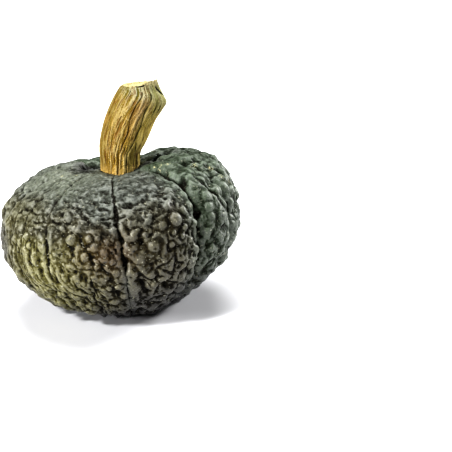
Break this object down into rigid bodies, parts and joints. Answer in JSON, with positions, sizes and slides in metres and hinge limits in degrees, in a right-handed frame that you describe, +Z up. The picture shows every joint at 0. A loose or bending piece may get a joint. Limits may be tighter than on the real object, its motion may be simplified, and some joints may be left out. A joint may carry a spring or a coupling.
{
  "type": "winter squash",
  "caption": "Squat dark green winter squash with a lobed, warted rind, standing on its flattened lobes, with a thick ribbed dry stem that leans to an oblique cut.",
  "frame": {"origin": "on the ground under the middle of the bounding box", "axes": "+Z up through the stem, -Y towards the front crease, +X to the right, the way the stem leans"},
  "size_m": [0.2238, 0.2166, 0.2111],
  "materials": {
    "rind": "dark green and brown warted rind, satin, with a greyish waxy bloom on top",
    "dry_stem": "dry straw-coloured corky fibre, matt, with dark green grooves"
  },
  "bodies": {
    "root": {"fruit": "rind", "stem": "dry_stem"}
  },
  "joints": []
}
